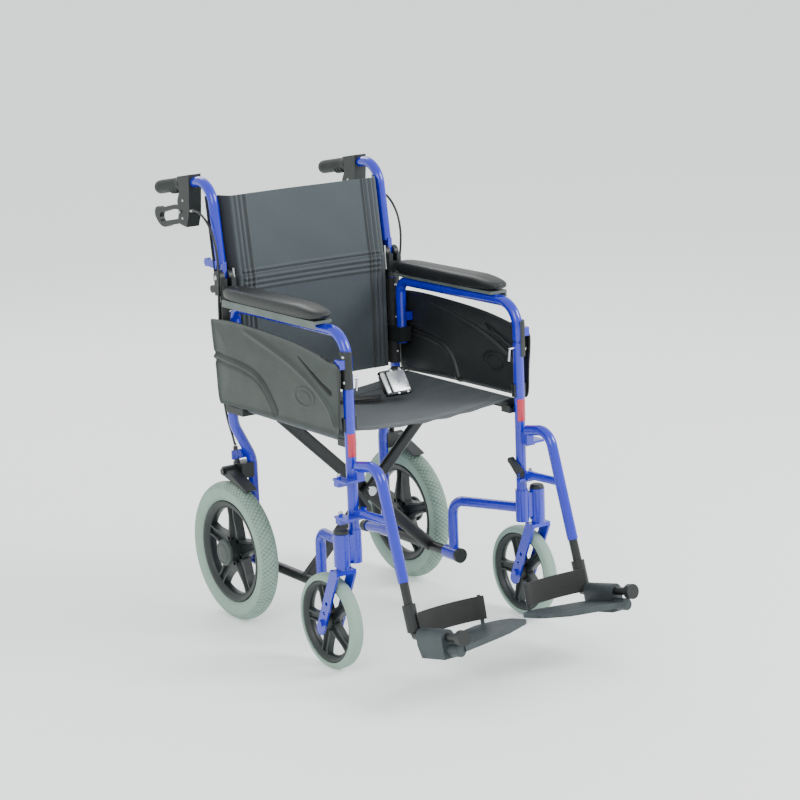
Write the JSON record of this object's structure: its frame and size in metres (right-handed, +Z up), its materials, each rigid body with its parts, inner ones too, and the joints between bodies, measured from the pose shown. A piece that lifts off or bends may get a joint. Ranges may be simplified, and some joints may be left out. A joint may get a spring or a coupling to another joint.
{
  "type": "transport wheelchair",
  "caption": "Folding attendant-propelled wheelchair with a cross-braced tube frame, sling seat, push handles with brake levers, lift-out armrests and swing-away footrests.",
  "frame": {"origin": "on the floor, at the centre of the chair's overall width and length", "axes": "+X to the seated person's left, +Y to the rear, +Z up"},
  "size_m": [0.551, 1.06, 0.945],
  "materials": {
    "frame_blue": "gloss",
    "black_plastic": "satin",
    "black_metal": "satin",
    "bright_steel": "polished",
    "grey_tyre": "matte",
    "rim_plastic": "satin",
    "grip_rubber": "matte",
    "arm_pad": "satin",
    "trim_plastic": "satin",
    "panel_plastic": "satin",
    "footplate_plastic": "matte",
    "webbing": "matte",
    "nylon": "matte",
    "buckle_steel": "polished",
    "cable_sheath": "satin"
  },
  "bodies": {
    "right_frame": {"side_frame_right": "frame_blue", "frame_fittings_right": "black_plastic", "brake_bracket_right": "black_metal", "back_hinge_right": "black_plastic", "back_lower": "nylon", "brake_cable_right": "cable_sheath", "lap_belt": "webbing"},
    "cross_a": {"cross_arm_a": "black_metal", "cross_bolt": "bright_steel", "seat_sling": "nylon", "belt_buckle": "buckle_steel"},
    "cross_b": {"cross_arm_b": "black_metal"},
    "left_frame": {"side_frame_left": "frame_blue", "frame_fittings_left": "black_plastic", "brake_bracket_left": "black_metal", "back_hinge_left": "black_plastic", "brake_cable_left": "cable_sheath"},
    "upper_cane_left": {"upper_cane_left": "frame_blue", "grip_left": "grip_rubber", "handle_housing_left": "black_plastic"},
    "brake_lever_left": {"brake_lever_left": "black_plastic"},
    "brake_shoe_left": {"brake_shoe_left": "black_plastic"},
    "back_release_left": {"back_release_left": "black_plastic"},
    "rear_wheel_left": {"rear_tyre_left": "grey_tyre", "rear_rim_left": "rim_plastic"},
    "caster_fork_left": {"caster_fork_left": "frame_blue"},
    "caster_wheel_left": {"caster_tyre_left": "grey_tyre", "caster_rim_left": "rim_plastic"},
    "armrest_left": {"armrest_frame_left": "frame_blue", "armrest_pad_left": "arm_pad", "armrest_trim_left": "trim_plastic", "side_panel_left": "panel_plastic"},
    "armrest_pin_left": {"armrest_pin_left": "bright_steel"},
    "hanger_left": {"hanger_left": "frame_blue"},
    "hanger_latch_left": {"hanger_latch_left": "black_plastic"},
    "footrest_stem_left": {"footrest_stem_left": "black_metal"},
    "footplate_left": {"footplate_left": "footplate_plastic", "heel_strap_left": "webbing"},
    "upper_cane_right": {"upper_cane_right": "frame_blue", "grip_right": "grip_rubber", "handle_housing_right": "black_plastic", "back_upper": "nylon"},
    "brake_lever_right": {"brake_lever_right": "black_plastic"},
    "brake_shoe_right": {"brake_shoe_right": "black_plastic"},
    "back_release_right": {"back_release_right": "black_plastic"},
    "rear_wheel_right": {"rear_tyre_right": "grey_tyre", "rear_rim_right": "rim_plastic"},
    "caster_fork_right": {"caster_fork_right": "frame_blue"},
    "caster_wheel_right": {"caster_tyre_right": "grey_tyre", "caster_rim_right": "rim_plastic"},
    "armrest_right": {"armrest_frame_right": "frame_blue", "armrest_pad_right": "arm_pad", "armrest_trim_right": "trim_plastic", "side_panel_right": "panel_plastic"},
    "armrest_pin_right": {"armrest_pin_right": "bright_steel"},
    "hanger_right": {"hanger_right": "frame_blue"},
    "hanger_latch_right": {"hanger_latch_right": "black_plastic"},
    "footrest_stem_right": {"footrest_stem_right": "black_metal"},
    "footplate_right": {"footplate_right": "footplate_plastic", "heel_strap_right": "webbing"}
  },
  "joints": [
    {"name": "fold", "type": "hinge", "parent": "right_frame", "child": "cross_a", "pos_m": [-0.167, 0.08, 0.119], "axis": [0, -1, 0], "range_deg": [0, 36], "deforming": ["seat_sling", "back_lower", "lap_belt", "belt_buckle"]},
    {"name": "cross_turn", "type": "hinge", "parent": "cross_a", "child": "cross_b", "pos_m": [0, 0.08, 0.278], "axis": [0, -1, 0], "range_deg": [-72, 0]},
    {"name": "left_frame_turn", "type": "hinge", "parent": "cross_b", "child": "left_frame", "pos_m": [0.167, 0.08, 0.119], "axis": [0, -1, 0], "range_deg": [0, 36]},
    {"name": "back_fold_right", "type": "hinge", "parent": "right_frame", "child": "upper_cane_right", "pos_m": [-0.211, 0.27, 0.738], "axis": [-1, 0, 0], "range_deg": [0, 90], "deforming": ["brake_cable_right", "back_upper"]},
    {"name": "brake_squeeze_right", "type": "hinge", "parent": "upper_cane_right", "child": "brake_lever_right", "pos_m": [-0.211, 0.40124, 0.86351], "axis": [1, 0, 0], "range_deg": [0, 12], "stiffness_Nm_per_rad": 0.6, "springref_deg": -22.92},
    {"name": "brake_press_right", "type": "hinge", "parent": "right_frame", "child": "brake_shoe_right", "pos_m": [-0.218, 0.274, 0.322], "axis": [1, 0, 0], "range_deg": [0, 2.4]},
    {"name": "back_release_right", "type": "hinge", "parent": "right_frame", "child": "back_release_right", "pos_m": [-0.2045, 0.285, 0.712], "axis": [-1, 0, 0], "range_deg": [0, 20], "stiffness_Nm_per_rad": 0.3, "springref_deg": -17.19},
    {"name": "rear_wheel_spin_right", "type": "hinge", "parent": "right_frame", "child": "rear_wheel_right", "pos_m": [-0.223, 0.258, 0.15], "axis": [1, 0, 0], "continuous": true},
    {"name": "caster_swivel_right", "type": "hinge", "parent": "right_frame", "child": "caster_fork_right", "pos_m": [-0.246, -0.186, 0.222], "axis": [0, 0, 1], "continuous": true},
    {"name": "caster_spin_right", "type": "hinge", "parent": "caster_fork_right", "child": "caster_wheel_right", "pos_m": [-0.246, -0.1375, 0.0975], "axis": [1, 0, 0], "continuous": true},
    {"name": "armrest_lift_right", "type": "slide", "parent": "right_frame", "child": "armrest_right", "axis": [0, 0, 1], "range_m": [0, 0.1]},
    {"name": "armrest_pin_right", "type": "slide", "parent": "right_frame", "child": "armrest_pin_right", "axis": [1, 0, 0], "range_m": [0, 0.006], "stiffness_N_per_m": 400, "springref_m": -0.004},
    {"name": "hanger_swing_right", "type": "hinge", "parent": "right_frame", "child": "hanger_right", "pos_m": [-0.239, -0.176, 0.391], "axis": [0, 0, -1], "range_deg": [0, 90]},
    {"name": "hanger_latch_right", "type": "hinge", "parent": "hanger_right", "child": "hanger_latch_right", "pos_m": [-0.192, -0.202, 0.33], "axis": [1, 0, 0], "range_deg": [0, 25], "stiffness_Nm_per_rad": 0.2, "springref_deg": -17.19},
    {"name": "footrest_length_right", "type": "slide", "parent": "hanger_right", "child": "footrest_stem_right", "axis": [0, -0.3056, -0.9522], "range_m": [-0.03, 0.04]},
    {"name": "footplate_flip_right", "type": "hinge", "parent": "footrest_stem_right", "child": "footplate_right", "pos_m": [-0.208, -0.385, 0.122], "axis": [0, -0.9781, 0.2079], "range_deg": [0, 102.6], "deforming": ["heel_strap_right"]},
    {"name": "back_fold_left", "type": "hinge", "parent": "left_frame", "child": "upper_cane_left", "pos_m": [0.211, 0.27, 0.738], "axis": [-1, 0, 0], "range_deg": [0, 90], "deforming": ["brake_cable_left"]},
    {"name": "brake_squeeze_left", "type": "hinge", "parent": "upper_cane_left", "child": "brake_lever_left", "pos_m": [0.211, 0.40124, 0.86351], "axis": [1, 0, 0], "range_deg": [0, 12], "stiffness_Nm_per_rad": 0.6, "springref_deg": -22.92},
    {"name": "brake_press_left", "type": "hinge", "parent": "left_frame", "child": "brake_shoe_left", "pos_m": [0.218, 0.274, 0.322], "axis": [1, 0, 0], "range_deg": [0, 2.4]},
    {"name": "back_release_left", "type": "hinge", "parent": "left_frame", "child": "back_release_left", "pos_m": [0.2045, 0.285, 0.712], "axis": [-1, 0, 0], "range_deg": [0, 20], "stiffness_Nm_per_rad": 0.3, "springref_deg": -17.19},
    {"name": "rear_wheel_spin_left", "type": "hinge", "parent": "left_frame", "child": "rear_wheel_left", "pos_m": [0.223, 0.258, 0.15], "axis": [1, 0, 0], "continuous": true},
    {"name": "caster_swivel_left", "type": "hinge", "parent": "left_frame", "child": "caster_fork_left", "pos_m": [0.246, -0.186, 0.222], "axis": [0, 0, 1], "continuous": true},
    {"name": "caster_spin_left", "type": "hinge", "parent": "caster_fork_left", "child": "caster_wheel_left", "pos_m": [0.246, -0.1375, 0.0975], "axis": [1, 0, 0], "continuous": true},
    {"name": "armrest_lift_left", "type": "slide", "parent": "left_frame", "child": "armrest_left", "axis": [0, 0, 1], "range_m": [0, 0.1]},
    {"name": "armrest_pin_left", "type": "slide", "parent": "left_frame", "child": "armrest_pin_left", "axis": [-1, 0, 0], "range_m": [0, 0.006], "stiffness_N_per_m": 400, "springref_m": -0.004},
    {"name": "hanger_swing_left", "type": "hinge", "parent": "left_frame", "child": "hanger_left", "pos_m": [0.239, -0.176, 0.391], "axis": [0, 0, 1], "range_deg": [0, 90]},
    {"name": "hanger_latch_left", "type": "hinge", "parent": "hanger_left", "child": "hanger_latch_left", "pos_m": [0.192, -0.202, 0.33], "axis": [1, 0, 0], "range_deg": [0, 25], "stiffness_Nm_per_rad": 0.2, "springref_deg": -17.19},
    {"name": "footrest_length_left", "type": "slide", "parent": "hanger_left", "child": "footrest_stem_left", "axis": [0, -0.3056, -0.9522], "range_m": [-0.03, 0.04]},
    {"name": "footplate_flip_left", "type": "hinge", "parent": "footrest_stem_left", "child": "footplate_left", "pos_m": [0.208, -0.385, 0.122], "axis": [0, 0.9781, -0.2079], "range_deg": [0, 102.6], "deforming": ["heel_strap_left"]}
  ],
  "couplings": [
    {"joint": "cross_turn", "follows": "fold", "ratio": -2},
    {"joint": "left_frame_turn", "follows": "fold", "ratio": 1},
    {"joint": "brake_press_right", "follows": "brake_squeeze_right", "ratio": 0.18},
    {"joint": "footplate_flip_right", "follows": "fold", "ratio": 2.85},
    {"joint": "brake_press_left", "follows": "brake_squeeze_left", "ratio": 0.18},
    {"joint": "footplate_flip_left", "follows": "fold", "ratio": 2.85},
    {"joint": "back_fold_left", "follows": "back_fold_right", "ratio": 1}
  ]
}
